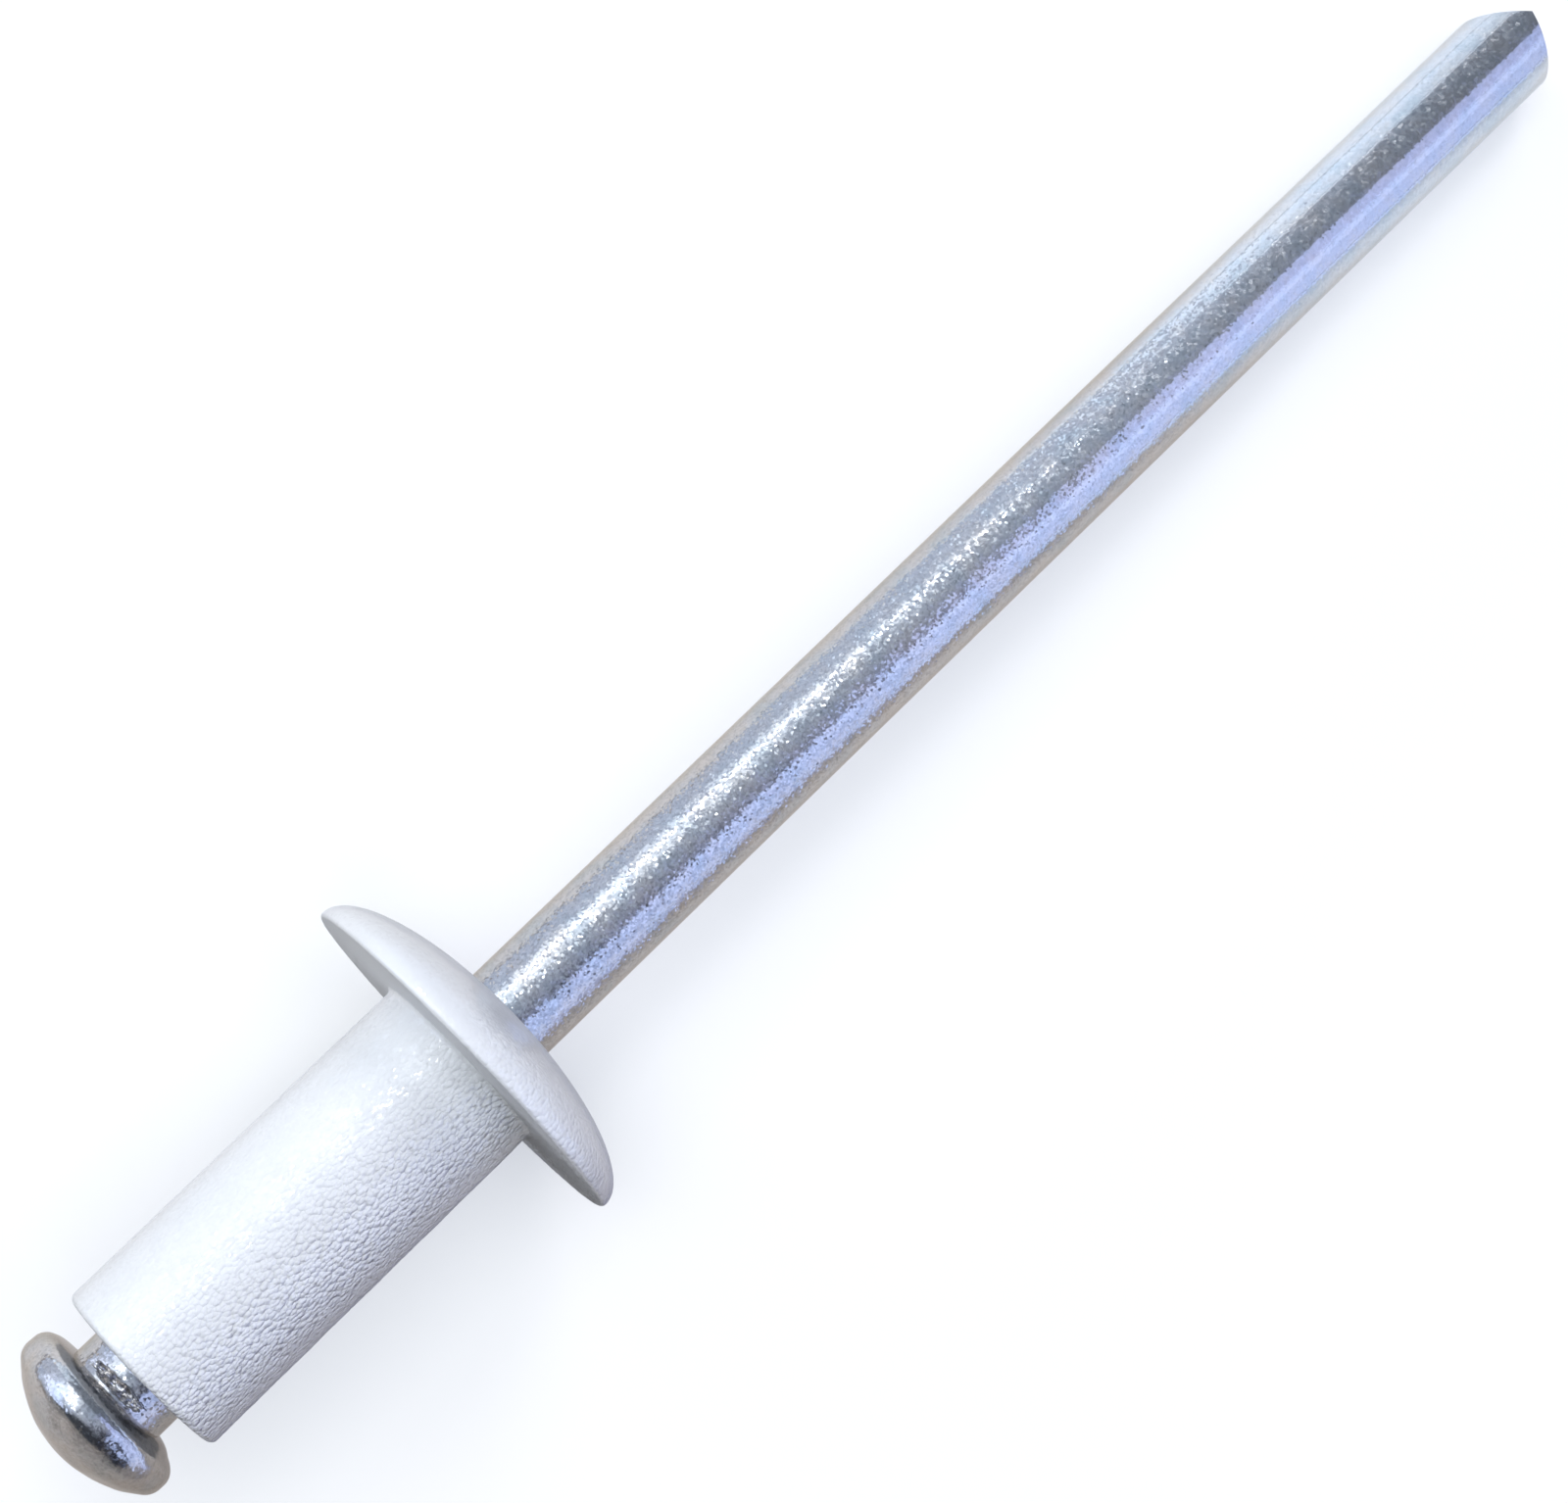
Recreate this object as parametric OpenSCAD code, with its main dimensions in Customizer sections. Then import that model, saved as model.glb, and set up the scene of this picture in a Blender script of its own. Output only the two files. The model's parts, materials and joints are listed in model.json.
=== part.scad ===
// Blind rivet with a domed flange, lying as it comes to rest on a flat surface.
// Two pieces: the tubular aluminium body with its coat, and the steel mandrel that passes through it.
// Both are turned shapes on one axis, drawn upright with the flange's bearing face at height 0,
// the mandrel's head below and its point above, and then laid down together.

/* [Rivet body] */
// Diameter of the shank, coat included
shank_d = 4.1; // [3.2:0.05:5]
// Length of the shank, from the flange's bearing face to its open end
shank_length = 8.8; // [6:0.1:16]
// Radius round the shank's open end
shank_end_radius = 0.14; // [0.05:0.01:0.25]
// Diameter of the flange, coat included
flange_d = 8.34; // [6.5:0.02:12]
// Height of the dome's crown above the bearing face
dome_height = 1.43; // [0.8:0.01:2.4]
// Radius between the bearing face and the flange's rim
rim_radius = 0.09; // [0.04:0.01:0.3]
// Fillet of coat between the shank and the bearing face
flange_fillet = 0.12; // [0.04:0.01:0.3]
// Chamfer round the mouth of the bore, at the open end
mouth_chamfer = 0.12; // [0.05:0.01:0.25]

/* [Mandrel stem] */
// Diameter of the stem
stem_d = 2.24; // [1.7:0.02:2.6]
// Radial gap between the stem and the body's bore
stem_clearance = 0.1; // [0.08:0.01:0.2]
// Length of the stem that stands out of the dome's crown
stem_reach = 31.85; // [20:0.05:45]

/* [Stem point] */
// Angle between the long cut face and the stem's axis
long_cut_angle = 48; // [35:1:80]
// Angle between the short cut face and the stem's axis
short_cut_angle = 70; // [35:1:80]
// Distance of the ridge between the two cut faces from the stem's axis
ridge_offset = 0.09; // [0:0.01:0.4]

/* [Mandrel head] */
// Diameter of the head
head_d = 3.93; // [3.3:0.01:4.6]
// Height of the head, from its crown to the foot of its shoulder
head_height = 1.59; // [1.3:0.01:2.6]
// Radius of the head's domed crown
crown_radius = 2.75; // [2.4:0.05:6]
// Radius that blends the crown into the head's side
crown_blend = 0.4; // [0.1:0.05:0.6]
// Radius round the edge of the shoulder
shoulder_radius = 0.35; // [0.1:0.01:0.4]
// Fall of the shoulder from the neck to its edge
shoulder_angle = 12; // [0:1:20]
// Gap between the shoulder and the body's open end
head_gap = 0.63; // [0.5:0.01:1.5]

/* [Break neck] */
// Swell of the wire on each side under the head; it eases down to the stem inside the body
neck_swell = 0.06; // [0:0.01:0.07]
// Depth of each of the two pinch marks
notch_depth = 0.2; // [0.05:0.01:0.25]
// Width of a pinch mark at its floor
notch_floor = 0.12; // [0.04:0.01:0.18]
// Slope of a pinch mark's sides
notch_angle = 68; // [55:1:80]
// Distance of a pinch mark's middle from the shoulder
notch_height = 0.23; // [0.2:0.01:0.4]

/* [Hidden] */
$fn = 96;
// Steps of a quarter round, for small edges and for the wide domes
EDGE_STEPS = 6;
DOME_STEPS = 22;
// Overshoot of a cutting shape past the face that it cuts
CUT = 0.5;

shank_r = shank_d / 2;
flange_r = flange_d / 2;
stem_r = stem_d / 2;
bore_r = stem_r + stem_clearance;
neck_r = stem_r + neck_swell;
head_r = head_d / 2;

// Heights along the axis
shoulder_z = -shank_length - head_gap;
crown_z = shoulder_z - head_height;
notch_z = shoulder_z + notch_height;
point_z = dome_height + stem_reach;

// The flange's rim and the end of the stem touch the surface below
rest_tilt = atan((flange_r - stem_r) / (point_z - rim_radius));

// Points along an arc about [x, y], between two angles
function arc(x, y, radius, from, to, steps) =
    [for (i = [0:steps]) let (a = from + (to - from) * i / steps)
        [x + radius * cos(a), y + radius * sin(a)]];

// Points along a quarter of an ellipse, from its side to its crown
function quarter_ellipse(y, across, up, steps) =
    [for (i = [0:steps]) [across * cos(90 * i / steps), y + up * sin(90 * i / steps)]];

// Lays the upright rivet down, with its point towards +X
module lying() {
    rotate([0, 90 + rest_tilt, 0])
        children();
}

// Outline of the body without its bore: open end, shank, fillet, rim and dome
module body_profile() {
    polygon(concat(
        [[0, -shank_length]],
        arc(shank_r - shank_end_radius, shank_end_radius - shank_length, shank_end_radius, -90, 0, EDGE_STEPS),
        arc(shank_r + flange_fillet, -flange_fillet, flange_fillet, 180, 90, EDGE_STEPS),
        arc(flange_r - rim_radius, rim_radius, rim_radius, -90, 0, EDGE_STEPS),
        quarter_ellipse(rim_radius, flange_r, dome_height - rim_radius, DOME_STEPS)
    ));
}

// Bore for the stem, chamfered at the open end
module bore() {
    translate([0, 0, -shank_length - CUT])
        cylinder(r = bore_r, h = shank_length + dome_height + 2 * CUT);
    translate([0, 0, -shank_length - CUT])
        cylinder(r1 = bore_r + mouth_chamfer + CUT, r2 = bore_r, h = mouth_chamfer + CUT);
}

// Body, turned half round so that the seam of its round faces is on top and not where it rests
module rivet_body() {
    color("white")
        lying()
            rotate([0, 0, 180])
                difference() {
                    rotate_extrude()
                        body_profile();
                    bore();
                }
}

// Outline of the head: domed crown, blend, side, rounded shoulder edge and shoulder
module head_profile() {
    crown_centre_z = crown_z + crown_radius;
    blend_x = head_r - crown_blend;
    blend_drop = sqrt(pow(crown_radius - crown_blend, 2) - pow(blend_x, 2));
    blend_z = crown_centre_z - blend_drop;
    blend_angle = -atan2(blend_drop, blend_x);
    edge_x = head_r - shoulder_radius;
    edge_end = 90 - shoulder_angle;
    edge_fall = (edge_x + shoulder_radius * cos(edge_end) - neck_r) * tan(shoulder_angle);
    edge_z = shoulder_z - edge_fall - shoulder_radius * sin(edge_end);
    polygon(concat(
        arc(0, crown_centre_z, crown_radius, -90, blend_angle, DOME_STEPS),
        arc(blend_x, blend_z, crown_blend, blend_angle, 0, EDGE_STEPS),
        arc(edge_x, edge_z, shoulder_radius, 0, edge_end, EDGE_STEPS),
        [[neck_r, shoulder_z], [0, shoulder_z]]
    ));
}

// Wire inside the body: from the swell that forming the head leaves, it eases down to the stem at the crown
module neck() {
    translate([0, 0, shoulder_z])
        cylinder(r1 = neck_r, r2 = stem_r, h = dome_height - shoulder_z);
}

// One pinch mark across the wire, on the side that faces +X before the rivet is laid down
module pinch_mark() {
    mouth = notch_floor / 2 + (notch_depth + CUT) / tan(notch_angle);
    translate([neck_r - notch_depth, 0, notch_z])
        rotate([90, 0, 0])
            linear_extrude(height = 2 * neck_r + 2 * CUT, center = true)
                polygon([
                    [0, -notch_floor / 2],
                    [notch_depth + CUT, -mouth],
                    [notch_depth + CUT, mouth],
                    [0, notch_floor / 2]
                ]);
}

// Space kept by the two cut faces of the point, seen along its ridge; the long one is on the +Y side
module point_envelope() {
    reach = stem_r + CUT;
    long_drop = (reach - ridge_offset) / tan(long_cut_angle);
    short_drop = (reach + ridge_offset) / tan(short_cut_angle);
    rotate([90, 0, 90])
        linear_extrude(height = 2 * reach, center = true)
            polygon([
                [-reach, 0],
                [reach, 0],
                [reach, point_z - long_drop],
                [ridge_offset, point_z],
                [-reach, point_z - short_drop]
            ]);
}

// Stem that stands out of the dome, cut to its point
module pointed_stem() {
    intersection() {
        translate([0, 0, dome_height])
            cylinder(r = stem_r, h = stem_reach);
        point_envelope();
    }
}

module mandrel() {
    color("silver")
        lying()
            difference() {
                union() {
                    rotate_extrude()
                        head_profile();
                    neck();
                    pointed_stem();
                }
                pinch_mark();
                rotate([0, 0, 180])
                    pinch_mark();
            }
}

rivet_body();
mandrel();
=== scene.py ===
# %% [markdown]
# A pop rivet is two pieces on one axis: a soft aluminium body with a dome flange, coated white,
# and a steel mandrel that runs through it, from an upset head at one end to a cut point at the
# other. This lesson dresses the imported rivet: each piece becomes a fine turned mesh with its real
# marks, and each finish is a procedural material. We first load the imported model, because every
# size and place below is read from it.

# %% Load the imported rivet
import bmesh
import bpy
import json
import math
from mathutils import Matrix, Vector, noise

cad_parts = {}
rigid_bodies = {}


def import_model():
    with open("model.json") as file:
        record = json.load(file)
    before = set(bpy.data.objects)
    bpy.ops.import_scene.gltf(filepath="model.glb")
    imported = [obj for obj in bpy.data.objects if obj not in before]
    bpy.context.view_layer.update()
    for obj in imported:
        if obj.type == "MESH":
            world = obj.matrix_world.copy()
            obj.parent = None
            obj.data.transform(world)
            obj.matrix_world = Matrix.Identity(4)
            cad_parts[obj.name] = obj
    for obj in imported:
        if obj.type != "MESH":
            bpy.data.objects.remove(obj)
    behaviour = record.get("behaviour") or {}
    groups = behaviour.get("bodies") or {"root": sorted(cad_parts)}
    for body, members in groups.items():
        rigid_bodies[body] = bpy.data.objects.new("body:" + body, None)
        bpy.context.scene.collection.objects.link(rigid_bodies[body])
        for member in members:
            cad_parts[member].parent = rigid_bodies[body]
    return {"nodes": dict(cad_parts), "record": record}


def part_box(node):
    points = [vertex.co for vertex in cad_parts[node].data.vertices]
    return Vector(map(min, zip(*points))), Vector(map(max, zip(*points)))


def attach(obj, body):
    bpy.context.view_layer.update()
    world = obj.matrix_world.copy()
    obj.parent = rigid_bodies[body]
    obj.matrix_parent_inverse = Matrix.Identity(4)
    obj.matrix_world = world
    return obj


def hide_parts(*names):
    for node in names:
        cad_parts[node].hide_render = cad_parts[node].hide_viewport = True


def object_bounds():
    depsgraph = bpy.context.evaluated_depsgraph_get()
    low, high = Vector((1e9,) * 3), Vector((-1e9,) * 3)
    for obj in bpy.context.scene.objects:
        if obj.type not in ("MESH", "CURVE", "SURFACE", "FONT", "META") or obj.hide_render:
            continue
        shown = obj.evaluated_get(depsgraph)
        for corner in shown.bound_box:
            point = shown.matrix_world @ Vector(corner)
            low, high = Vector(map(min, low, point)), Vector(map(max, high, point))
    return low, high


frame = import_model()
cad_low, cad_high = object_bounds()
print("nodes:", sorted(frame["nodes"]))

# %% [markdown]
# The record's mounts say where the axis runs: the stem's mount points along it, towards the point
# of the mandrel. We draw everything upright, with the height z along the axis and the flange's
# bearing face at height 0, and one matrix lays it down. The rotation that turns +Z onto the axis
# is the same one that laid the solids down, so upright +X ends up facing the table.

# %% Axis and sizes from the frame
MM = 0.001
mounts = {m["name"]: m for m in frame["record"]["mounts"]}
axis = Vector(mounts["stem"]["axis"]).normalized()
lay_down = Vector((0, 0, 1)).rotation_difference(axis).to_matrix().to_4x4()


def reach_along_axis(node):
    """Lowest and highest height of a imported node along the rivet's axis, in metres."""
    heights = [v.co @ axis for v in frame["nodes"][node].data.vertices]
    return min(heights), max(heights)


open_end_z, dome_edge_z = reach_along_axis("rivet_body")
crown_z, point_z = reach_along_axis("mandrel")
shank_r = mounts["shank"]["dims"]["r_mm"] * MM
stem_r = mounts["stem"]["dims"]["r_mm"] * MM
flange_r = (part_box("rivet_body")[1][1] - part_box("rivet_body")[0][1]) / 2
print("heights: open end %.2f mm, crown of the head %.2f mm, point %.2f mm"
      % (open_end_z / MM, crown_z / MM, point_z / MM))

# %% [markdown]
# Next come two small drawing tools. Both pieces are turned shapes, so each needs only half of its
# section, drawn as points (radius, height). Rounds are arcs worked out by a formula, and the whole
# outline is then cut into short, even steps. Even steps matter here, because the surface marks are
# real relief: a vertex must stand wherever a pebble of the coat has to rise.

# %% Outlines as points
def arc(centre_r, centre_z, radius, start, end, steps=8, height=None):
    """Points along an arc, or along an ellipse when its height differs from its radius."""
    points = []
    for i in range(steps + 1):
        turn = math.radians(start + (end - start) * i / steps)
        points.append((centre_r + radius * math.cos(turn),
                       centre_z + (height or radius) * math.sin(turn)))
    return points


def even_steps(points, step):
    """The same outline with extra points, so that none is further than step from the next."""
    fine = [points[0]]
    for (r0, z0), (r1, z1) in zip(points, points[1:]):
        cuts = max(1, math.ceil(math.hypot(r1 - r0, z1 - z0) / step))
        fine += [(r0 + (r1 - r0) * i / cuts, z0 + (z1 - z0) * i / cuts) for i in range(1, cuts + 1)]
    return fine


# %% [markdown]
# Turning an outline could be left to the Screw modifier. Here plain bmesh code does it, because
# every vertex then passes through one function that may push it in or out before the mesh exists.
# A closed outline makes a tube with an inside; an open one makes a skin that ends in a pole.

# %% Turn an outline into a mesh
TINY = 1e-7


def turned(outline, columns, closed, shape):
    """A turned mesh. shape(point) gives the place of each upright vertex after its marks."""
    bm = bmesh.new()
    rings = []
    for r, z in outline:
        if r < TINY:
            rings.append([bm.verts.new(shape(Vector((0, 0, z))))] * columns)
            continue
        ring = []
        for i in range(columns):
            turn = 2 * math.pi * i / columns
            ring.append(bm.verts.new(shape(Vector((r * math.cos(turn), r * math.sin(turn), z)))))
        rings.append(ring)
    pairs = list(zip(rings, rings[1:]))
    if closed:
        pairs.append((rings[-1], rings[0]))
    for low, high in pairs:
        for i in range(columns):
            j = (i + 1) % columns
            corners = list(dict.fromkeys((low[i], low[j], high[j], high[i])))
            bm.faces.new(corners)
    bm.normal_update()
    return bm


def finished(bm, name, sharp_degrees):
    """The mesh laid down in the frame, as an object with smooth shading and true sharp edges."""
    bmesh.ops.recalc_face_normals(bm, faces=bm.faces)
    mesh = bpy.data.meshes.new(name)
    bm.to_mesh(mesh)
    bm.free()
    mesh.transform(lay_down)
    mesh.shade_smooth()
    mesh.set_sharp_from_angle(angle=math.radians(sharp_degrees))
    piece = bpy.data.objects.new(name, mesh)
    bpy.context.scene.collection.objects.link(piece)
    print(name, len(mesh.polygons), "faces")
    return piece


# %% [markdown]
# The body. Its outline runs once round the wall: over the dome, round the rim, along the flat
# bearing face, down the shank, round the open end and back up the bore. The powder coat leaves an
# uneven skin: it flows into a low orange-peel swell, and its texture makes pebbles with creases
# between them. Both are real relief here, and the finest grain is left to the material's bump. On
# the +Y side the powder flowed out nearly smooth, as in the picture; the other side is leathery,
# and the dome lies between the two.

# %% Body of the rivet
BORE_GAP = 0.10 * MM
END_RADIUS = 0.14 * MM
FILLET = 0.12 * MM
RIM_RADIUS = 0.09 * MM
MOUTH_CHAMFER = 0.12 * MM
CROWN_HEIGHT = 1.43 * MM
BODY_STEP = 0.05 * MM
BODY_COLUMNS = 272
SWELL_SIZE, SWELL_DEPTH = 0.60 * MM, 0.010 * MM
PEBBLE_SIZE, PEBBLE_STRETCH, PEBBLE_DEPTH = 0.12 * MM, 1.3, 0.009 * MM
# Pebbles are bent by a slower noise; sizes and shifts are in pebbles
PEBBLE_BEND, BEND_SLOWNESS, CREASE_WIDTH = 0.6, 0.7, 0.6
# Places across the axis where the coat is smoothest and roughest, and the least share of its relief
SMOOTH_SIDE, ROUGH_SIDE, LEAST_RELIEF = 0.7 * MM, -1.4 * MM, 0.15
# Height over which the relief fades onto the dome, and the share of it that stays there
DOME_EDGE, DOME_CALM = 0.25 * MM, 0.30

bore_r = stem_r + BORE_GAP
# Without a seed, vector noise differs from run to run
NOISE_SEED = 5
noise.seed_set(NOISE_SEED)


def body_outline():
    """Closed outline of the body's wall; the bore has few points, because nothing is seen there."""
    bore_edge_angle = math.degrees(math.acos(bore_r / flange_r))
    outside = (
        arc(0, RIM_RADIUS, flange_r, bore_edge_angle, 0, 26, height=CROWN_HEIGHT - RIM_RADIUS)
        + arc(flange_r - RIM_RADIUS, RIM_RADIUS, RIM_RADIUS, 0, -90, 6)[1:]
        + arc(shank_r + FILLET, -FILLET, FILLET, 90, 180, 6)
        + arc(shank_r - END_RADIUS, open_end_z + END_RADIUS, END_RADIUS, 0, -90, 6)
    )
    mouth = [(bore_r + MOUTH_CHAMFER, open_end_z), (bore_r, open_end_z + MOUTH_CHAMFER)]
    bore = [(bore_r, open_end_z + (dome_edge_z - open_end_z) * i / 6) for i in range(1, 6)]
    return even_steps(outside + mouth, BODY_STEP) + bore


def coat_relief(p):
    """Height of the coat's relief at a point, in metres: a slow swell and creased pebbles."""
    swell = noise.noise(p / SWELL_SIZE)
    place = Vector((p.x, p.y, p.z / PEBBLE_STRETCH)) / PEBBLE_SIZE
    bent = place + PEBBLE_BEND * noise.noise_vector(place * BEND_SLOWNESS)
    near, next_near = noise.voronoi(bent)[0][:2]
    crease = 1 - min(1.0, (next_near - near) / CREASE_WIDTH)
    rough = min(1.0, max(LEAST_RELIEF, (SMOOTH_SIDE - p.y) / (SMOOTH_SIDE - ROUGH_SIDE)))
    calm = 1 - (1 - DOME_CALM) * min(1.0, max(0.0, p.z / DOME_EDGE))
    return rough * calm * (SWELL_DEPTH * swell - PEBBLE_DEPTH * crease ** 2)


def coated(p):
    """Pushes a vertex of the body's outside along its outward direction by the coat's relief."""
    r = math.hypot(p.x, p.y)
    if r < bore_r + 0.01 * MM:
        return p
    if 0 < p.z and r > shank_r:
        outward = Vector((p.x / flange_r, p.y / flange_r, 1.0)).normalized()
    elif r > shank_r + FILLET:
        outward = Vector((0, 0, -1))
    elif r > shank_r - END_RADIUS:
        outward = Vector((p.x, p.y, 0)).normalized()
    else:
        outward = Vector((0, 0, 1 if p.z > 0 else -1))
    return p + outward * coat_relief(p)


body_bm = turned(body_outline(), BODY_COLUMNS, True, coated)
body = finished(body_bm, "coated_body", 50)

# %% [markdown]
# The mandrel. The same turning makes its head, neck and stem in one skin, from a half section that
# starts on the crown of the head. The head's edge rolls over into a wide shoulder, and under it the
# wire is a little swollen, because forming the head pressed it thicker.

# %% Outline of the mandrel
HEAD_R = 1.965 * MM
HEAD_HEIGHT = 1.59 * MM
CROWN_RADIUS = 2.75 * MM
CROWN_BLEND = 0.40 * MM
SHOULDER_RADIUS = 0.35 * MM
SHOULDER_TURN = 62
SHOULDER_ROLL = 1.38 * MM
NECK_SWELL = 0.06 * MM
HEAD_STEP = 0.05 * MM
NECK_STEP = 0.022 * MM
STEM_STEP = 0.40 * MM
MANDREL_COLUMNS = 160
# Length of the fine neck inside the body, and of the wire that the cuts of the point take away
NECK_INSIDE = 0.6 * MM
SPARE_LENGTH = 1.6 * MM

shoulder_z = crown_z + HEAD_HEIGHT
neck_r = stem_r + NECK_SWELL


def head_outline():
    """Crown, blend, side and rolled shoulder of the head, up to the neck."""
    ball_z = crown_z + CROWN_RADIUS
    blend_r = HEAD_R - CROWN_BLEND
    drop = math.sqrt((CROWN_RADIUS - CROWN_BLEND) ** 2 - blend_r ** 2)
    blend_angle = -math.degrees(math.atan2(drop, blend_r))
    turn = math.radians(SHOULDER_TURN)
    edge_r = HEAD_R - SHOULDER_RADIUS
    roll_r = edge_r - (SHOULDER_ROLL - SHOULDER_RADIUS) * math.cos(turn)
    roll_end = math.acos((neck_r - roll_r) / SHOULDER_ROLL)
    roll_z = shoulder_z - SHOULDER_ROLL * math.sin(roll_end)
    edge_z = roll_z + (SHOULDER_ROLL - SHOULDER_RADIUS) * math.sin(turn)
    return (arc(0, ball_z, CROWN_RADIUS, -90, blend_angle, 24)
            + arc(blend_r, ball_z - drop, CROWN_BLEND, blend_angle, 0, 8)[1:]
            + arc(edge_r, edge_z, SHOULDER_RADIUS, 0, SHOULDER_TURN, 8)
            + arc(roll_r, roll_z, SHOULDER_ROLL, SHOULDER_TURN, math.degrees(roll_end), 8)[1:])


def mandrel_outline():
    """Open outline of the whole wire: fine steps where marks follow, long ones on the stem."""
    neck_end_z = open_end_z + NECK_INSIDE
    swell_left = neck_r + (stem_r - neck_r) * (neck_end_z - shoulder_z) / (CROWN_HEIGHT - shoulder_z)
    head = even_steps(head_outline(), HEAD_STEP)
    neck = even_steps([(neck_r, shoulder_z), (swell_left, neck_end_z)], NECK_STEP)[1:]
    stem = even_steps([(swell_left, neck_end_z), (stem_r, CROWN_HEIGHT),
                       (stem_r, point_z + SPARE_LENGTH)], STEM_STEP)[1:]
    return head + neck + stem


# %% [markdown]
# Two marks of its making follow. The header that formed the head left it a little crooked and
# bruised. And a pinch from above and below squeezed the neck into its break point: two flat-bottomed
# notches, whose walls are torn rather than cut.

# %% Marks of making on the mandrel
NOTCH_DEPTH = 0.20 * MM
NOTCH_FLOOR = 0.12 * MM
NOTCH_ANGLE = 68
NOTCH_HEIGHT = 0.19 * MM
HEAD_LEAN = 2.5
BRUISE_SIZE, BRUISE_DEPTH = 0.45 * MM, 0.014 * MM
TEAR_SIZE, TEAR_DEPTH = 0.10 * MM, 0.085 * MM
# A finer tear on top of the first: its share and how much smaller it is; and the shift along the wire
FINE_TEAR, FINE_TEAR_SCALE, TEAR_SHIFT = 0.5, 2.3, 0.4
PINCH_ROUND, PINCH_SINK = 0.05 * MM, 0.25
LEAN_FADE = 0.1 * MM
# Dents of the head: direction in the upright frame, width and depth in millimetres
DENTS = [((-0.80, -0.50, -0.30), 0.30, 0.045), ((-0.85, 0.10, -0.55), 0.22, 0.030),
         ((-0.55, 0.75, -0.35), 0.26, 0.035), ((-0.30, -0.60, -0.75), 0.35, 0.030),
         ((0.50, 0.40, -0.70), 0.30, 0.030), ((0.20, -0.90, -0.10), 0.20, 0.030)]


def pinched(p):
    """Squeezes the neck from above and below into the two pinch marks, with torn, uneven walls."""
    away = max(0.0, abs(p.z - shoulder_z - NOTCH_HEIGHT) - NOTCH_FLOOR / 2)
    torn = noise.noise(p / TEAR_SIZE) + FINE_TEAR * noise.noise(p / TEAR_SIZE * FINE_TEAR_SCALE)
    limit = neck_r - NOTCH_DEPTH + away * math.tan(math.radians(NOTCH_ANGLE)) + TEAR_DEPTH * torn
    blend = max(0.0, 1 - abs(abs(p.x) - limit) / PINCH_ROUND)
    kept_x = min(abs(p.x), limit) - PINCH_SINK * PINCH_ROUND * blend ** 2
    return Vector((math.copysign(kept_x, p.x), p.y, p.z + TEAR_SHIFT * TEAR_DEPTH * torn * blend))


def bruised(p):
    """Leans the head a little, and gives it a few dents and an uneven skin."""
    middle = Vector((0, 0, shoulder_z))
    out = (p - middle).normalized()
    sink = BRUISE_DEPTH * noise.noise(p / BRUISE_SIZE)
    for direction, width, depth in DENTS:
        aim = Vector(direction).normalized()
        off = (p - middle - aim * (p - middle).length).length / (width * MM)
        sink -= depth * MM * math.exp(-off * off)
    lean = Matrix.Rotation(math.radians(HEAD_LEAN), 3, "X")
    fade = min(1.0, (shoulder_z - p.z) / LEAN_FADE)
    moved = middle + lean @ (p + out * sink * fade - middle)
    return p.lerp(moved, fade)


def marked(p):
    """The place of a vertex of the mandrel after its marks; the stem has none."""
    if p.z < shoulder_z - TINY:
        return bruised(p)
    if p.z < open_end_z:
        return pinched(p)
    return p


# %% [markdown]
# The point is cut last, as the wire was pinched off: two cut faces that meet in a ridge. Bisecting
# the closed tube with two planes and filling each cut gives the two flat faces exactly, and a
# rounded bevel on their edges stands for the lip that pinching rolls over. A boolean would do the
# same, but the two cuts are planes, so bisecting is simpler.

# %% Cut the point
LONG_CUT, SHORT_CUT = 48, 70
RIDGE_OFFSET = 0.09 * MM
LIP = 0.09 * MM


def cut_face(bm, side, angle):
    """Cuts the point with one plane through the ridge; side is +1 or -1 across the ridge."""
    turn = math.radians(angle)
    normal = Vector((0, side * math.cos(turn), math.sin(turn)))
    cut = bmesh.ops.bisect_plane(
        bm, geom=bm.verts[:] + bm.edges[:] + bm.faces[:], dist=1e-8,
        plane_co=Vector((0, RIDGE_OFFSET, point_z)), plane_no=normal, clear_outer=True)
    edges = [e for e in cut["geom_cut"] if isinstance(e, bmesh.types.BMEdge)]
    bmesh.ops.holes_fill(bm, edges=edges, sides=0)


def roll_lip(bm):
    """A rounded bevel where a cut face meets the round of the stem; only cut faces have many sides."""
    bm.normal_update()
    caps = {f for f in bm.faces if len(f.verts) > 8}
    edges = [e for e in bm.edges if sum(f in caps for f in e.link_faces) == 1]
    bmesh.ops.bevel(bm, geom=edges, offset=LIP, segments=3, profile=0.6, affect="EDGES",
                    clamp_overlap=True)


mandrel_bm = turned(mandrel_outline(), MANDREL_COLUMNS, False, marked)
end_ring = [e for e in mandrel_bm.edges if e.is_boundary]
bmesh.ops.holes_fill(mandrel_bm, edges=end_ring, sides=0)
cut_face(mandrel_bm, 1, LONG_CUT)
cut_face(mandrel_bm, -1, SHORT_CUT)
roll_lip(mandrel_bm)
mandrel = finished(mandrel_bm, "plated_mandrel", 38)

# %% [markdown]
# The finishes are node trees, and a few small helpers keep the cells that build them short: one
# starts a node group, and three add a Math, a Vector Math or a Map Range node, which maps a value
# from one range to another and stops at its ends.

# %% Helpers for node trees
def new_group(name, inputs, outputs):
    """An empty shader node group with named inputs and outputs, and its two end nodes."""
    group = bpy.data.node_groups.new(name, "ShaderNodeTree")
    for socket, default in inputs.items():
        made = group.interface.new_socket(socket, in_out="INPUT", socket_type="NodeSocketFloat")
        made.default_value = default
    for socket in outputs:
        kind = "NodeSocketVector" if socket == "Normal" else "NodeSocketFloat"
        group.interface.new_socket(socket, in_out="OUTPUT", socket_type=kind)
    return group, group.nodes.new("NodeGroupInput"), group.nodes.new("NodeGroupOutput")


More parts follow.
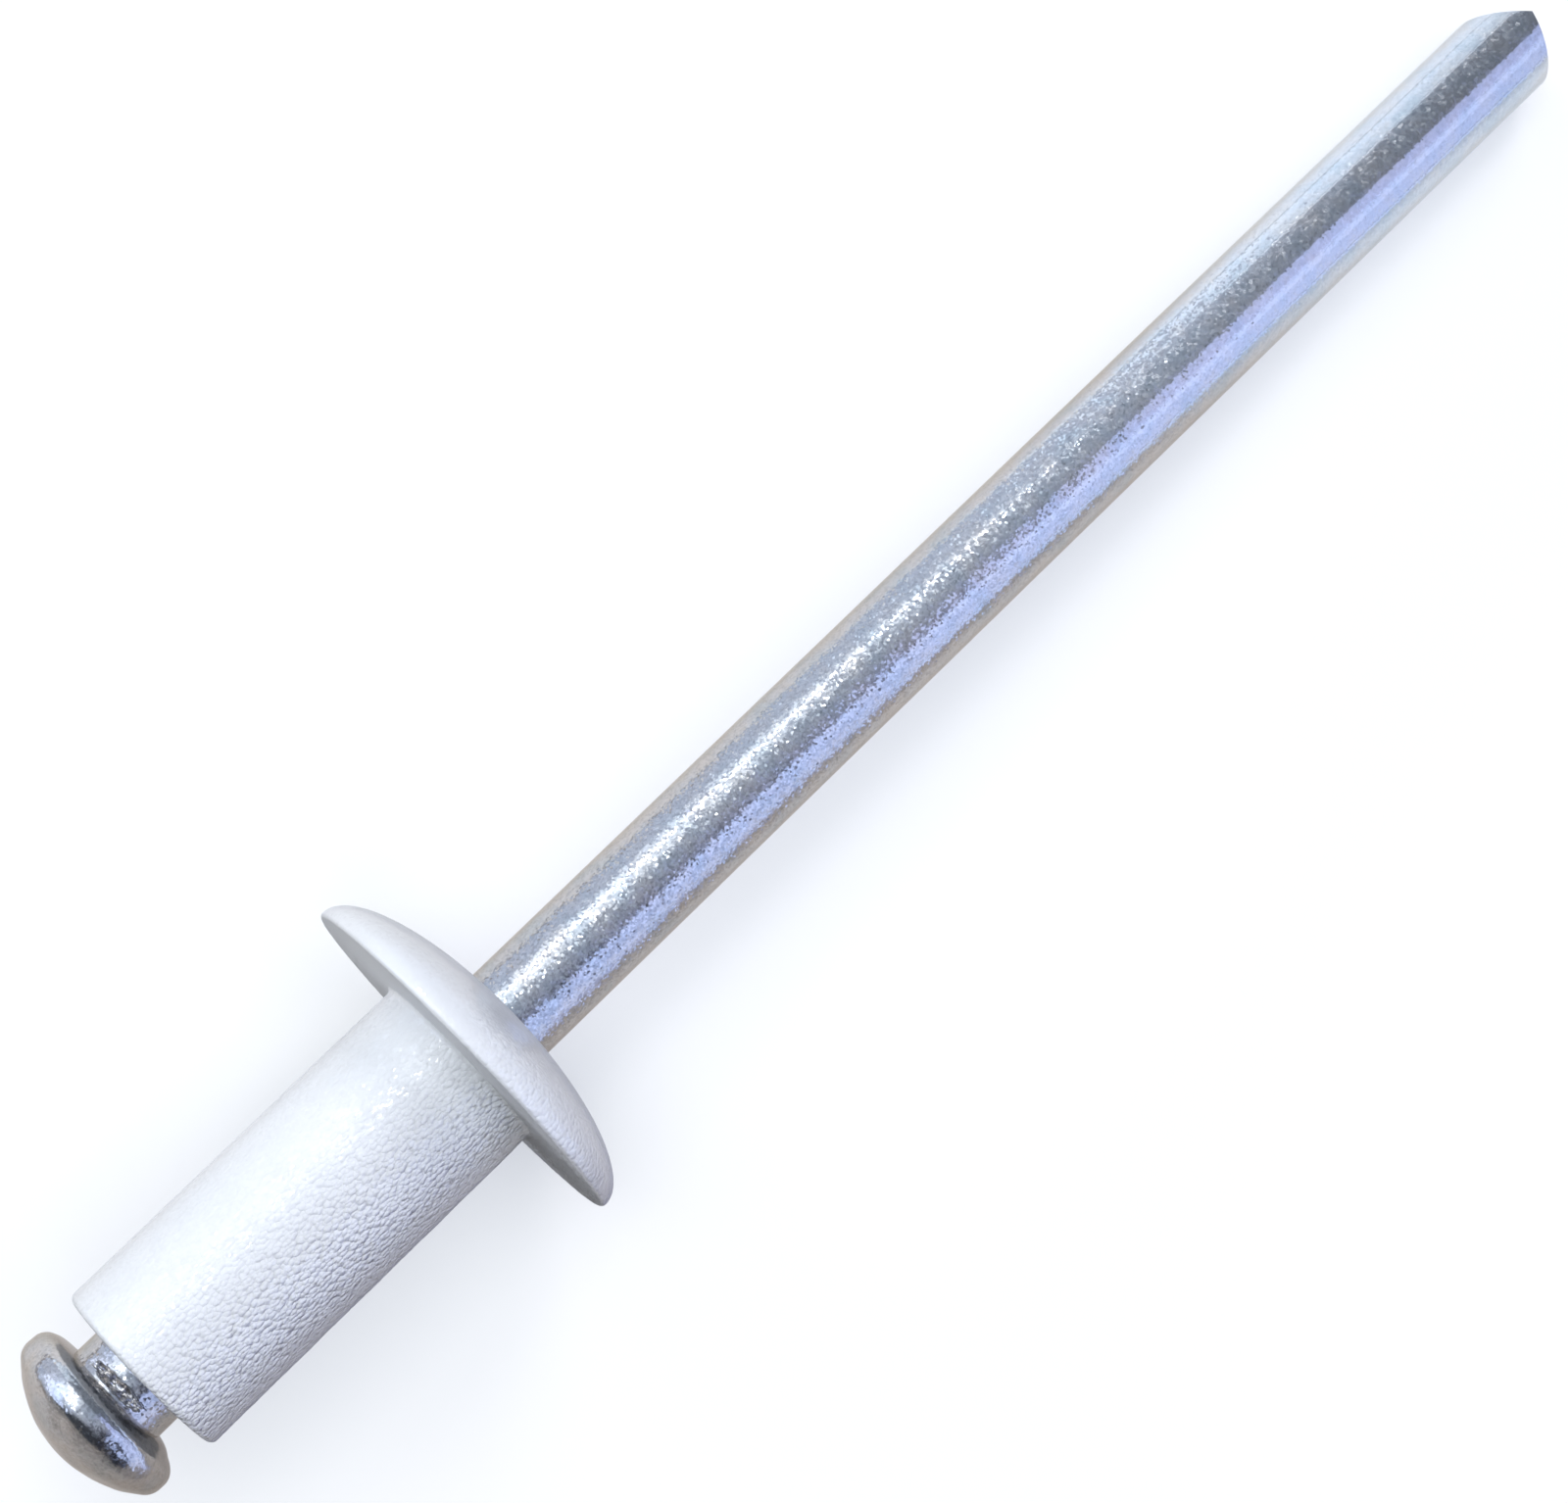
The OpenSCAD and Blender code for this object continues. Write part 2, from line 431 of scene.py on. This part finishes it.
def math_node(tree, operation, a, b):
    """A Math node; a and b are sockets or numbers."""
    node = tree.nodes.new("ShaderNodeMath")
    node.operation = operation
    for value, socket in zip((a, b), node.inputs):
        if isinstance(value, (int, float)):
            socket.default_value = value
        else:
            tree.links.new(value, socket)
    return node.outputs[0]


def vector_math(tree, operation, a, b):
    """A Vector Math node; b is a constant vector, a socket, or for SCALE a number or its socket."""
    node = tree.nodes.new("ShaderNodeVectorMath")
    node.operation = operation
    tree.links.new(a, node.inputs[0])
    if isinstance(b, tuple):
        node.inputs[1].default_value = b
    elif isinstance(b, (int, float)):
        node.inputs["Scale"].default_value = b
    else:
        tree.links.new(b, node.inputs["Scale" if operation == "SCALE" else 1])
    return node.outputs["Vector"]


def ranged(tree, value, low, high, to_low, to_high):
    """A Map Range node: the value's way from low to high becomes a way from to_low to to_high."""
    node = tree.nodes.new("ShaderNodeMapRange")
    tree.links.new(value, node.inputs["Value"])
    ends = (("From Min", low), ("From Max", high), ("To Min", to_low), ("To Max", to_high))
    for socket, number in ends:
        node.inputs[socket].default_value = number
    return node.outputs["Result"]


# %% [markdown]
# Both finishes have grain: pebbles in the coat, crystals in the zinc. One node group makes it for
# both, with its cell size as an input. Voronoi cells give the lumps, and a noise bends them so that
# no two look alike. Its outputs are a height for bump, a fleck value per cell, and a normal that
# leans its own way in each cell. That last one makes glitter: each cell mirrors another place. The
# rare lean is added in a few cells only, and towards grazing edges both leans fade out.

# %% Node group: grain
BEND_SCALE, BEND_DETAIL = 0.8, 1.0
RARENESS = 4.0
FACING_FADE, EDGE_LEAN = (0.40, 0.80), 0.1


def grain_group():
    """Cells with a height, a fleck value and a leaning normal each."""
    group, given, result = new_group(
        "grain", {"Cells per mm": 8.0, "Bend": 0.5, "Stretch": 1.0, "Lean": 0.1, "Rare lean": 0.0},
        ("Height", "Fleck", "Normal"))
    nodes, links = group.nodes, group.links
    place = nodes.new("ShaderNodeTexCoord")
    per_metre = math_node(group, "MULTIPLY", given.outputs["Cells per mm"], 1000.0)
    size = nodes.new("ShaderNodeCombineXYZ")
    links.new(math_node(group, "DIVIDE", per_metre, given.outputs["Stretch"]), size.inputs["X"])
    links.new(per_metre, size.inputs["Y"])
    links.new(per_metre, size.inputs["Z"])
    scaled = vector_math(group, "MULTIPLY", place.outputs["Object"], size.outputs[0])
    bend = nodes.new("ShaderNodeTexNoise")
    bend.inputs["Scale"].default_value = BEND_SCALE
    bend.inputs["Detail"].default_value = BEND_DETAIL
    links.new(scaled, bend.inputs["Vector"])
    push = vector_math(group, "SCALE", bend.outputs["Color"], given.outputs["Bend"])
    cells = nodes.new("ShaderNodeTexVoronoi")
    cells.inputs["Scale"].default_value = 1.0
    links.new(vector_math(group, "ADD", scaled, push), cells.inputs["Vector"])
    dome = math_node(group, "MULTIPLY", cells.outputs["Distance"], cells.outputs["Distance"])
    links.new(math_node(group, "SUBTRACT", 1.0, dome), result.inputs["Height"])
    tone = nodes.new("ShaderNodeSeparateColor")
    links.new(cells.outputs["Color"], tone.inputs[0])
    links.new(tone.outputs[0], result.inputs["Fleck"])
    random_way = vector_math(group, "SUBTRACT", cells.outputs["Color"], (0.5, 0.5, 0.5))
    rare = math_node(group, "POWER", tone.outputs[1], RARENESS)
    rare_lean = math_node(group, "MULTIPLY", rare, given.outputs["Rare lean"])
    strength = math_node(group, "ADD", rare_lean, given.outputs["Lean"])
    edge = nodes.new("ShaderNodeLayerWeight")
    at_edges = ranged(group, edge.outputs["Facing"], *FACING_FADE, 1.0, EDGE_LEAN)
    strength = math_node(group, "MULTIPLY", strength, at_edges)
    lean = vector_math(group, "SCALE", random_way, strength)
    surface = nodes.new("ShaderNodeNewGeometry")
    leaning = vector_math(group, "ADD", surface.outputs["Normal"], lean)
    links.new(vector_math(group, "NORMALIZE", leaning, (0, 0, 0)), result.inputs["Normal"])
    return group


grain = grain_group()
print("grain group sockets:", [item.name for item in grain.interface.items_tree])

# %% [markdown]
# Both finishes also vary slowly: the coat lies thicker in places and the zinc is cloudy. A second
# group gives that drift as one value around 0.5, at a size that each material sets.

# %% Node group: drift
def drift_group():
    """Slow patches, with their size and detail as inputs."""
    group, given, result = new_group("drift", {"Patches per mm": 0.5, "Detail": 3.0}, ("Value",))
    place = group.nodes.new("ShaderNodeTexCoord")
    patches = group.nodes.new("ShaderNodeTexNoise")
    group.links.new(place.outputs["Object"], patches.inputs["Vector"])
    group.links.new(math_node(group, "MULTIPLY", given.outputs["Patches per mm"], 1000.0),
                    patches.inputs["Scale"])
    group.links.new(given.outputs["Detail"], patches.inputs["Detail"])
    group.links.new(patches.outputs["Fac"], result.inputs["Value"])
    return group


drift = drift_group()
print("drift group sockets:", [item.name for item in drift.interface.items_tree])

# %% [markdown]
# More helpers keep the material cells short: one starts a material, one places a group with its
# values, one gives the coordinates, one turns a value into colours, and one turns a height into a
# bump of a stated depth in millimetres.

# %% Helpers for materials
def new_material(name):
    """A material with its node tree and its Principled BSDF."""
    material = bpy.data.materials.new(name)
    material.use_nodes = True
    tree = material.node_tree
    return material, tree, tree.nodes["Principled BSDF"]


def place_group(tree, group, **values):
    """A group node with its inputs set; an underscore in a name stands for a space."""
    node = tree.nodes.new("ShaderNodeGroup")
    node.node_tree = group
    for socket, value in values.items():
        node.inputs[socket.replace("_", " ")].default_value = value
    return node


def coordinates(tree, output="Object"):
    """The texture coordinates, and the same split into X, Y and Z."""
    place = tree.nodes.new("ShaderNodeTexCoord").outputs[output]
    split = tree.nodes.new("ShaderNodeSeparateXYZ")
    tree.links.new(place, split.inputs[0])
    return place, split.outputs


def colours(tree, value, stops):
    """A colour ramp over value; stops are (position, (r, g, b))."""
    ramp = tree.nodes.new("ShaderNodeValToRGB")
    tree.links.new(value, ramp.inputs[0])
    elements = ramp.color_ramp.elements
    while len(elements) < len(stops):
        elements.new(0.5)
    for element, (position, colour) in zip(elements, stops):
        element.position = position
        element.color = (*colour, 1)
    return ramp.outputs["Color"]


def bump(tree, height, depth_mm):
    """The normal of a bump with a real depth."""
    node = tree.nodes.new("ShaderNodeBump")
    node.inputs["Strength"].default_value = 1.0
    node.inputs["Distance"].default_value = depth_mm * MM
    tree.links.new(height, node.inputs["Height"])
    return node.outputs["Normal"]


# %% [markdown]
# The powder coat is a bluish white polyester skin. A bump adds the smaller pebbles to those of the
# mesh, with the same smooth and rough sides and the same calm dome. Above it lies the skin's gloss
# as a coat layer with a grain of its own, so that the highlight breaks into sparkles. At grazing
# angles a textured skin hides its gloss behind its own pebbles, so the coat's weight fades there.

# %% Material: white powder coat
PEBBLE_BUMP_MM = 0.066
GLOSS_FADE = (0.72, 0.88)


def powder_coat():
    """White textured coat of the body."""
    material, tree, surface = new_material("white_powder_coat")
    pebbles = place_group(tree, grain, Cells_per_mm=11.5, Bend=0.6, Stretch=1.4)
    glitter = place_group(tree, grain, Cells_per_mm=12.0, Bend=0.6, Lean=0.32)
    cloud = place_group(tree, drift, Patches_per_mm=0.7, Detail=4.0)
    tree.links.new(colours(tree, cloud.outputs["Value"], [
        (0.30, (0.815, 0.825, 0.830)), (0.70, (0.835, 0.840, 0.840))]), surface.inputs["Base Color"])
    parts = coordinates(tree)[1]
    rough = ranged(tree, parts["Y"], SMOOTH_SIDE, ROUGH_SIDE, LEAST_RELIEF, 1.0)
    calm = ranged(tree, parts["X"], 0.0, DOME_EDGE, 1.0, DOME_CALM)
    rough = math_node(tree, "MULTIPLY", rough, calm)
    pebble_height = math_node(tree, "MULTIPLY", pebbles.outputs["Height"], rough)
    tree.links.new(bump(tree, pebble_height, PEBBLE_BUMP_MM), surface.inputs["Normal"])
    tree.links.new(glitter.outputs["Normal"], surface.inputs["Coat Normal"])
    surface.inputs["Roughness"].default_value = 0.45
    edge = tree.nodes.new("ShaderNodeLayerWeight")
    tree.links.new(ranged(tree, edge.outputs["Facing"], *GLOSS_FADE, 1.0, 0.0),
                   surface.inputs["Coat Weight"])
    surface.inputs["Specular IOR Level"].default_value = 0.2
    surface.inputs["Coat IOR"].default_value = 1.65
    surface.inputs["Coat Roughness"].default_value = 0.06
    return material


body.data.materials.append(powder_coat())
print("finish of the body:", body.data.materials[0].name)

# %% [markdown]
# Zinc plating is a bright metal skin of tiny crystals. Each crystal leans its own way, which is
# why a plated wire glitters, and the grain's normal does just that. Near the flange the crystals
# are fresh; from there to the point they are rubbed ever smoother, and on the head, which the
# header pressed, they are calmer too. The clouds of the passivated zinc drift between bluish and
# slightly warm grey. The metal's grazing edges are tinted warmer and darker, a painted reflection of
# a dim beige floor. The passivation film over the zinc is the coat layer: it is rough, so it spreads
# a soft bloom round each mirrored light.

# %% Material: zinc plating
WORN_LENGTH = (8 * MM, 27 * MM)
HEAD_LENGTH = (-9.6 * MM, -9.0 * MM)
HEAD_CALM = 0.45
# Leans of the crystals and the shade of the darkest ones: where the plating is fresh, where worn
FRESH_LEAN, WORN_LEAN = 0.11, 0.02
FRESH_RARE_LEAN, WORN_RARE_LEAN = 0.40, 0.06
FRESH_SHADE, WORN_SHADE = 0.74, 0.92
SHADED_FLECKS = 0.6


def zinc_plating():
    """Bright zinc with crystals, clouds and a passivation film."""
    material, tree, surface = new_material("zinc_plating")
    crystals = place_group(tree, grain, Cells_per_mm=20.0, Bend=0.45)
    film = place_group(tree, grain, Cells_per_mm=14.0, Bend=0.5, Lean=0.40)
    cloud = place_group(tree, drift, Patches_per_mm=1.6, Detail=5.0)
    parts = coordinates(tree)[1]
    along = parts["X"]
    calm_head = ranged(tree, along, *HEAD_LENGTH, HEAD_CALM, 1.0)
    for socket, fresh, worn in (("Lean", FRESH_LEAN, WORN_LEAN),
                                ("Rare lean", FRESH_RARE_LEAN, WORN_RARE_LEAN)):
        lean = math_node(tree, "MULTIPLY", calm_head, ranged(tree, along, *WORN_LENGTH, fresh, worn))
        tree.links.new(lean, crystals.inputs[socket])
    zinc = colours(tree, cloud.outputs["Value"], [
        (0.32, (0.51, 0.55, 0.58)), (0.50, (0.58, 0.585, 0.60)), (0.68, (0.615, 0.59, 0.57))])
    shade = ranged(tree, crystals.outputs["Fleck"], 0.0, SHADED_FLECKS, FRESH_SHADE, 1.0)
    tree.links.new(ranged(tree, along, *WORN_LENGTH, FRESH_SHADE, WORN_SHADE),
                   shade.node.inputs["To Min"])
    tree.links.new(vector_math(tree, "SCALE", zinc, shade), surface.inputs["Base Color"])
    tree.links.new(crystals.outputs["Normal"], surface.inputs["Normal"])
    tree.links.new(film.outputs["Normal"], surface.inputs["Coat Normal"])
    surface.inputs["Metallic"].default_value = 1.0
    surface.inputs["Roughness"].default_value = 0.10
    # Painted reflection: this warm, dark edge tint stands in for a dim beige floor mirrored at grazing
    # edges
    surface.inputs["Specular Tint"].default_value = (0.55, 0.47, 0.39, 1)
    surface.inputs["Coat Weight"].default_value = 1.0
    surface.inputs["Coat IOR"].default_value = 2.2
    surface.inputs["Coat Roughness"].default_value = 0.27
    return material


mandrel.data.materials.append(zinc_plating())
print("finish of the mandrel:", mandrel.data.materials[0].name)

# %% [markdown]
# Now the pieces are tied to the frame. The rivet has no moving parts, so both ride on the root
# body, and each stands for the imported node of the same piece.

# %% Tie the pieces to the frame
for piece, node, slot in ((body, "rivet_body", "white_coat"), (mandrel, "mandrel", "zinc_steel")):
    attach(piece, "root")
    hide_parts(node)
    print(piece.name, "stands for", node, "in", slot)

# %% [markdown]
# The rivet lies on a plain floor, touching it with the flange's rim and the end of the stem. The
# floor is wide, so that low views still end in it. Its colour is a painted pool of light, grey beige
# and paler in its middle, with painted shade round it, and little of it bounces back under the
# rivet. To the camera a glow fills up what that colour lacks to white, so the backdrop is white and
# keeps a soft part of the shadow. The metal sees that painted pool lit by the lamps, with a painted
# glow on it, a pale painted reflection beyond the point and a lavender one on the window's side.

# %% Floor
FLOOR_SIZE = 3.0
LIGHT_POOL_MIDDLE = (20 * MM, 23 * MM, 0)
LIGHT_POOL_SHAPE = (0.55, 1.0, 0.0)
# Distance from the middle of the painted pool of light in metres, and the floor's colour there;
# further out it is painted shade
PAINTED_POOL_TONES = [(0.018, (0.70, 0.68, 0.66)), (0.024, (0.66, 0.63, 0.59)), (0.028, (0.56, 0.53, 0.50)),
              (0.034, (0.37, 0.33, 0.29)), (0.050, (0.24, 0.215, 0.195))]
# Share of the floor's colour that it throws back as light, and that the metal sees as a painted glow
BOUNCE = 0.10
MIRRORED_PAINTED_GLOW = 0.25
# The two painted glows, light patches that only the metal mirrors, rise along X and along Y, and the
# second one starts beside the head
FAR_PAINTED_GLOW, FAR_PAINTED_GLOW_COLOUR = (22 * MM, 29 * MM), (0.24, 0.36, 0.51)
SIDE_PAINTED_GLOW, SIDE_PAINTED_GLOW_COLOUR = (-18 * MM, -42 * MM), (0.30, 0.40, 0.78)
SIDE_PAINTED_GLOW_START = (-22 * MM, -12 * MM)
BLACK = (0, 0, 0)


def painted_light_pool(tree, place):
    """A pool of light and shade painted into the floor's colour: an oval, pale in its middle, darker
    outward.
    """
    away = vector_math(tree, "SUBTRACT", place, LIGHT_POOL_MIDDLE)
    distance = tree.nodes.new("ShaderNodeVectorMath")
    distance.operation = "LENGTH"
    tree.links.new(vector_math(tree, "MULTIPLY", away, LIGHT_POOL_SHAPE), distance.inputs[0])
    light_pool_r = PAINTED_POOL_TONES[-1][0]
    return colours(tree, ranged(tree, distance.outputs["Value"], 0, light_pool_r, 0, 1),
                   [(r / light_pool_r, colour) for r, colour in PAINTED_POOL_TONES])


def floor_glow(tree, tone, parts, path):
    """What the floor gives off: up to white for the camera; for the metal a painted glow and two
    tinted painted reflections.
    """
    missing = vector_math(tree, "MULTIPLY_ADD", tone, (-1, -1, -1))
    missing.node.inputs[2].default_value = (1, 1, 1)
    seen = math_node(tree, "MAXIMUM", path["Is Camera Ray"], path["Is Transmission Ray"])
    # Painted reflection: a pale blue glow on the floor beyond the point, seen only by the metal
    far = colours(tree, ranged(tree, parts["X"], *FAR_PAINTED_GLOW, 0, 1),
                  [(0, BLACK), (1, FAR_PAINTED_GLOW_COLOUR)])
    # Painted reflection: a lavender glow on the floor beside the rivet on the window's side, seen only
    # by the metal
    beside = math_node(tree, "MULTIPLY", ranged(tree, parts["Y"], *SIDE_PAINTED_GLOW, 0, 1),
                       ranged(tree, parts["X"], *SIDE_PAINTED_GLOW_START, 0, 1))
    beside = colours(tree, beside, [(0, BLACK), (1, SIDE_PAINTED_GLOW_COLOUR)])
    # Painted glow: a share of the painted pool, added only for the metal
    near = vector_math(tree, "SCALE", tone, MIRRORED_PAINTED_GLOW)
    mirrored = vector_math(tree, "ADD", near, vector_math(tree, "ADD", far, beside))
    return vector_math(tree, "ADD", vector_math(tree, "SCALE", missing, seen),
                       vector_math(tree, "SCALE", mirrored, path["Is Glossy Ray"]))


def floor():
    """The floor plane with its material."""
    bpy.ops.mesh.primitive_plane_add(size=FLOOR_SIZE, location=(0, 0, cad_low.z))
    plane = bpy.context.object
    plane.name = "floor"
    material, tree, surface = new_material("pale_floor")
    place, parts = coordinates(tree)
    path = tree.nodes.new("ShaderNodeLightPath").outputs
    # tone is the painted pool of light and shade, seen by the metal and by the lamps' light
    tone = painted_light_pool(tree, place)
    bounce = ranged(tree, path["Is Diffuse Ray"], 0, 1, 1, BOUNCE)
    tree.links.new(vector_math(tree, "SCALE", tone, bounce), surface.inputs["Base Color"])
    tree.links.new(floor_glow(tree, tone, parts, path), surface.inputs["Emission Color"])
    surface.inputs["Emission Strength"].default_value = 1.0
    surface.inputs["Roughness"].default_value = 0.9
    surface.inputs["Specular IOR Level"].default_value = 0.1
    material.cycles.emission_sampling = "NONE"
    plane.data.materials.append(material)
    print("floor at %.3f mm" % (cad_low.z / MM))


floor()

# %% [markdown]
# Metal shows what stands around it, so the light is built for the mandrel. What the metal mirrors
# and what lights the white coat are set apart, so that each can have its own level: every lamp acts
# either as a mirror image or as light. The images are a key above the left side, a bright strip in a
# soft box that stands a little higher over the head; a pale glow beyond the point; a blue window low
# on the right, with a taller one near the point; and a blue window behind the head on the left. The
# lights are a broad one overhead, a warm key, a low fill from behind the head, one in front of the
# dome and a blue one on the right. Each lamp's power follows from the brightness of its face.

# %% Lamps
LAMP_DISTANCE = 1.2


def softbox(name, side, elevation, start_x, end_x, height, brightness, colour, acts):
    """A lamp along X, seen from the rivet at an elevation above +Y (side 1) or -Y (side -1).

    It acts as "light" on rough surfaces or as a "mirror" image in glossy ones.
    """
    e = math.radians(elevation)
    towards = Vector((0, side * math.cos(e), math.sin(e)))
    lamp = bpy.data.lights.new(name, "AREA")
    lamp.shape = "RECTANGLE"
    lamp.size, lamp.size_y = end_x - start_x, height
    lamp.energy = brightness * lamp.size * height * math.pi
    lamp.color = colour
    holder = bpy.data.objects.new(name, lamp)
    bpy.context.scene.collection.objects.link(holder)
    holder.rotation_mode = "QUATERNION"
    holder.rotation_quaternion = towards.to_track_quat("Z", "Y")
    holder.location = towards * LAMP_DISTANCE + Vector(((start_x + end_x) / 2, 0, 0))
    holder.visible_camera = False
    holder.visible_diffuse = acts == "light"
    holder.visible_glossy = acts == "mirror"
    return holder


# Name, side, elevation, start and end along X, height, brightness, colour, and what it acts as
LAMPS = [
    ("key_strip", 1, 58, 0.10, 0.48, 0.030, 14.0, (1.0, 1.0, 1.0), "mirror"),
    ("key_core", 1, 57, 0.10, 0.48, 0.32, 0.70, (0.93, 0.98, 1.0), "mirror"),
    ("head_strip", 1, 65, -0.20, 0.10, 0.030, 14.0, (1.0, 1.0, 1.0), "mirror"),
    ("head_core", 1, 64, -0.16, 0.10, 0.32, 0.70, (0.93, 0.98, 1.0), "mirror"),
    ("key_box", 1, 60, -0.22, 0.40, 0.85, 0.76, (0.86, 0.94, 1.0), "mirror"),
    ("key_light", 1, 52, -0.40, 0.50, 0.80, 0.75, (1.0, 0.98, 0.94), "light"),
    ("top_light", -1, 84, -0.44, 0.56, 1.20, 3.00, (0.89, 0.95, 1.0), "light"),
    ("fill_light", 1, 12, -1.20, 0.20, 0.40, 4.8, (0.86, 0.90, 1.0), "light"),
    ("front_light", 1, 65, 0.90, 2.10, 0.80, 6.0, (0.92, 0.94, 1.0), "light"),
    ("side_light", -1, 32, 0.00, 1.20, 0.60, 1.90, (0.56, 0.55, 1.0), "light"),
    ("glow", 1, 8, 0.52, 1.60, 0.42, 0.90, (0.74, 0.87, 1.0), "mirror"),
    ("glow_high", 1, 28, 0.60, 1.60, 0.42, 0.76, (0.74, 0.87, 1.0), "mirror"),
    ("glow_line", 1, 41, 0.60, 1.60, 0.04, 1.50, (0.82, 0.90, 1.0), "mirror"),
    ("window", -1, 24, -0.20, 1.30, 1.00, 1.02, (0.50, 0.62, 1.0), "mirror"),
    ("window_core", -1, 36, -0.16, 1.30, 0.26, 0.34, (0.60, 0.68, 1.0), "mirror"),
    ("tall_window", -1, 58, 0.50, 1.30, 0.52, 0.95, (0.50, 0.58, 1.0), "mirror"),
    ("left_window", 1, 38, -1.50, -0.10, 0.80, 1.20, (0.64, 0.73, 1.0), "mirror"),
]
for lamp_row in LAMPS:
    softbox(*lamp_row)
print("lamps:", ", ".join(lamp_row[0] for lamp_row in LAMPS))

# %% [markdown]
# The world is a plain gradient, bright on the key's side, dim and bluer on the window's, and darkest
# behind the head, where the dome of the head shows it as a dark band. Low behind the head stands a
# faint taupe wall, and beyond the point the world dims, which keeps the cut faces grey. Rough
# surfaces get a third of its strength, so that the lamps keep their shape on the coat.

# %% World
SIDE_TONES = [(0.0, (0.25, 0.27, 0.42)), (0.20, (0.32, 0.34, 0.46)), (0.5, (0.49, 0.56, 0.68)),
              (1.0, (0.62, 0.70, 0.88))]
# How far the direction behind the head is turned towards +Y, where its shade starts and how deep
BEHIND_LEAN = 0.7
BEHIND_HEAD, BEHIND_SHADE = (-0.50, -0.12), 0.12
BEYOND_POINT, BEYOND_SHADE = (0.42, 0.56), 0.42
WALL_TOP, WALL_COLOUR = (0.20, 0.42), (0.27, 0.245, 0.22)
DIFFUSE_STRENGTH = 0.34


def world_light():
    """The gradient that stands round the rivet, by direction."""
    world = bpy.data.worlds.new("studio")
    world.use_nodes = True
    bpy.context.scene.world = world
    tree = world.node_tree
    sky = tree.nodes["Background"]
    parts = coordinates(tree, "Generated")[1]
    sides = colours(tree, ranged(tree, parts["Y"], -1, 1, 0, 1), SIDE_TONES)
    lean = math_node(tree, "MULTIPLY", parts["Y"], BEHIND_LEAN)
    behind = math_node(tree, "ADD", parts["X"], lean)
    behind_head = vector_math(tree, "SCALE", sides,
                              ranged(tree, behind, *BEHIND_HEAD, BEHIND_SHADE, 1.0))
    beyond_point = ranged(tree, parts["X"], *BEYOND_POINT, 1.0, BEYOND_SHADE)
    shades = vector_math(tree, "SCALE", behind_head, beyond_point)
    low = ranged(tree, parts["Z"], *WALL_TOP, 1.0, 0.0)
    low_behind = math_node(tree, "MULTIPLY", low, ranged(tree, behind, *BEHIND_HEAD, 1.0, 0.0))
    wall = colours(tree, low_behind, [(0, BLACK), (1, WALL_COLOUR)])
    tree.links.new(vector_math(tree, "ADD", shades, wall), sky.inputs["Color"])
    path = tree.nodes.new("ShaderNodeLightPath").outputs
    tree.links.new(ranged(tree, path["Is Glossy Ray"], 0, 1, DIFFUSE_STRENGTH, 1.0),
                   sky.inputs["Strength"])
    print("world:", world.name)


world_light()

# %% [markdown]
# The camera looks almost straight down, a little from the head's side, so that the mandrel runs
# away to the upper right. Its lens and distance come from how fast the stem narrows in the picture.

# %% Camera
VIEW_AZIMUTH, VIEW_ELEVATION = -45.10, 80.52
VIEW_DISTANCE = 65.8 * MM
LENS_MM = 71.4
AIM_ALONG, AIM_ASIDE = 9.413 * MM, Vector((0, -0.038 * MM, -0.004 * MM))
SENSOR_WIDTH_MM = 36.0
NEAREST, FURTHEST = 0.001, 20.0


def photo_camera():
    """The camera of the picture, placed by its direction, its distance and the point it aims at."""
    a, e = math.radians(VIEW_AZIMUTH), math.radians(VIEW_ELEVATION)
    back = Vector((math.sin(a) * math.cos(e), -math.cos(a) * math.cos(e), math.sin(e)))
    data = bpy.data.cameras.new("camera")
    data.lens, data.sensor_width = LENS_MM, SENSOR_WIDTH_MM
    data.clip_start, data.clip_end = NEAREST, FURTHEST
    camera = bpy.data.objects.new("camera", data)
    camera.rotation_mode = "QUATERNION"
    camera.location = axis * AIM_ALONG + AIM_ASIDE + back * VIEW_DISTANCE
    camera.rotation_quaternion = (-back).to_track_quat("-Z", "Y")
    bpy.context.scene.collection.objects.link(camera)
    bpy.context.scene.camera = camera
    print("camera at", [round(c / MM, 2) for c in camera.location], "mm")


photo_camera()
bpy.context.scene.view_settings.view_transform = "Standard"
